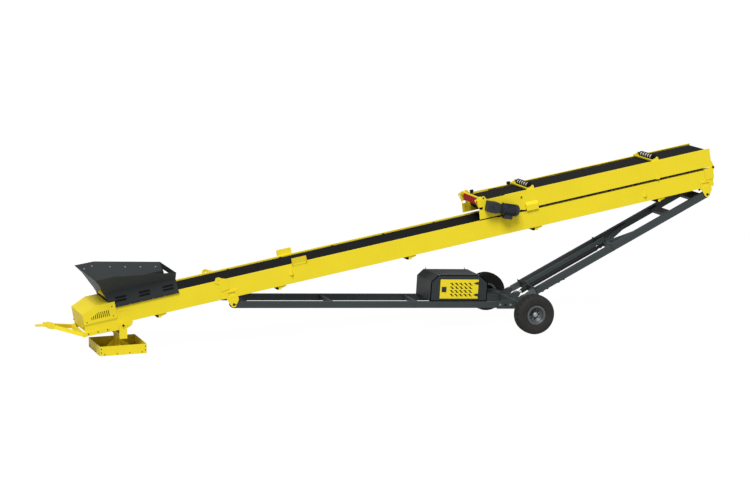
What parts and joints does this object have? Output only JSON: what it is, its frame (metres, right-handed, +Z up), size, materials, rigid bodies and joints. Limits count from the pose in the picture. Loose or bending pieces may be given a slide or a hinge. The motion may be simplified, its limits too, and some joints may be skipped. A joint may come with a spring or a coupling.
{
  "type": "radial stacker conveyor",
  "caption": "Wheeled radial stacker conveyor with a feed hopper, slewing ballast foot, telescopic lifting legs, axle with swivel wheels and a head section that folds back for transport.",
  "frame": {"origin": "centre of the foot's underside, on its slewing axis at ground level", "axes": "+X along the conveyor towards the hinge, +Z up"},
  "size_m": [15.6568, 3.194, 3.7866],
  "materials": {
    "yellow_paint": "satin",
    "grey_paint": "satin",
    "belt_rubber": "matte",
    "roller_steel": "satin",
    "drive_paint": "satin",
    "scraper_red": "satin",
    "tyre": "matte"
  },
  "bodies": {
    "conveyor": {"main_panels": "yellow_paint", "main_cross_tubes": "yellow_paint", "main_belt_carry": "belt_rubber", "main_belt_return": "belt_rubber", "main_carry_idlers": "roller_steel", "main_return_rolls": "belt_rubber", "main_return_brackets": "yellow_paint", "tail_plates": "yellow_paint", "tail_guard": "yellow_paint", "tail_pulley": "roller_steel", "hopper": "grey_paint", "skirt_rubbers": "belt_rubber", "drawbar": "yellow_paint", "tow_eye": "yellow_paint", "arm_lugs": "yellow_paint", "leg_lugs": "yellow_paint", "splice_plates": "yellow_paint", "main_flaps": "yellow_paint", "main_hinge_ears": "yellow_paint"},
    "head": {"head_panels": "yellow_paint", "head_cross_tubes": "yellow_paint", "head_belt_carry": "belt_rubber", "head_belt_return": "belt_rubber", "head_carry_idlers": "roller_steel", "head_return_rolls": "belt_rubber", "head_return_brackets": "yellow_paint", "head_hinge_ears": "yellow_paint", "head_guides": "yellow_paint", "head_end_plates": "yellow_paint", "head_drum": "roller_steel", "scraper_bar": "yellow_paint", "scraper_blade": "scraper_red", "stop_switches": "drive_paint", "gearbox": "drive_paint", "motor": "drive_paint"},
    "chassis": {"arms": "grey_paint", "arm_rungs": "grey_paint", "axle_beam": "grey_paint", "pack_cabinet": "grey_paint", "engine": "drive_paint"},
    "door_right": {"door_right": "yellow_paint"},
    "door_left": {"door_left": "yellow_paint"},
    "knuckle_right": {"knuckle_right": "grey_paint"},
    "knuckle_left": {"knuckle_left": "grey_paint"},
    "wheel_right": {"rim_right": "grey_paint", "tyre_right": "tyre"},
    "wheel_left": {"rim_left": "grey_paint", "tyre_left": "tyre"},
    "outer_legs": {"outer_legs": "grey_paint", "leg_braces": "grey_paint", "leg_collar": "grey_paint", "cylinder_barrel": "drive_paint"},
    "inner_legs": {"inner_legs": "grey_paint", "cylinder_rod": "roller_steel"},
    "yoke": {"yoke": "yellow_paint"},
    "foot": {"foot_box": "yellow_paint", "foot_post": "yellow_paint"}
  },
  "joints": [
    {"name": "raise", "type": "hinge", "parent": "conveyor", "child": "chassis", "pos_m": [2.44198, 0, 0.92379], "axis": [0, 1, 0], "range_deg": [0, 20.31]},
    {"name": "leg_swing", "type": "hinge", "parent": "conveyor", "child": "outer_legs", "pos_m": [13.69629, 0, 2.74055], "axis": [0, -1, 0], "range_deg": [0, 16.46]},
    {"name": "leg_slide", "type": "slide", "parent": "outer_legs", "child": "inner_legs", "axis": [-0.9038, 0, -0.428], "range_m": [0, 1.751]},
    {"name": "fold", "type": "hinge", "parent": "conveyor", "child": "head", "pos_m": [13.83287, 0, 3.36276], "axis": [0, 1, 0], "range_deg": [0, 180]},
    {"name": "foot_tilt", "type": "hinge", "parent": "conveyor", "child": "yoke", "pos_m": [0, 0, 0.64], "axis": [0, 1, 0], "range_deg": [-5, 15]},
    {"name": "foot_slew", "type": "hinge", "parent": "yoke", "child": "foot", "pos_m": [0, 0, 0.2], "axis": [0, 0, 1], "continuous": true},
    {"name": "swivel_right", "type": "hinge", "parent": "chassis", "child": "knuckle_right", "pos_m": [9.05, -1.12, 0.487], "axis": [0.066, 0, 0.9978], "range_deg": [0, 90]},
    {"name": "swivel_left", "type": "hinge", "parent": "chassis", "child": "knuckle_left", "pos_m": [9.05, 1.12, 0.487], "axis": [-0.066, 0, -0.9978], "range_deg": [0, 90]},
    {"name": "spin_right", "type": "hinge", "parent": "knuckle_right", "child": "wheel_right", "pos_m": [9.05, -1.427, 0.44], "axis": [0, 1, 0], "continuous": true},
    {"name": "spin_left", "type": "hinge", "parent": "knuckle_left", "child": "wheel_left", "pos_m": [9.05, 1.427, 0.44], "axis": [0, 1, 0], "continuous": true},
    {"name": "door_right", "type": "hinge", "parent": "chassis", "child": "door_right", "pos_m": [8.11861, -0.465, 0.88229], "axis": [0.066, 0, 0.9978], "range_deg": [0, 110]},
    {"name": "door_left", "type": "hinge", "parent": "chassis", "child": "door_left", "pos_m": [8.11861, 0.465, 0.88229], "axis": [-0.066, 0, -0.9978], "range_deg": [0, 110]}
  ],
  "couplings": [
    {"joint": "leg_swing", "follows": "raise", "ratio": 0.80976},
    {"joint": "leg_slide", "follows": "raise", "m_per_rad": 4.9361}
  ]
}
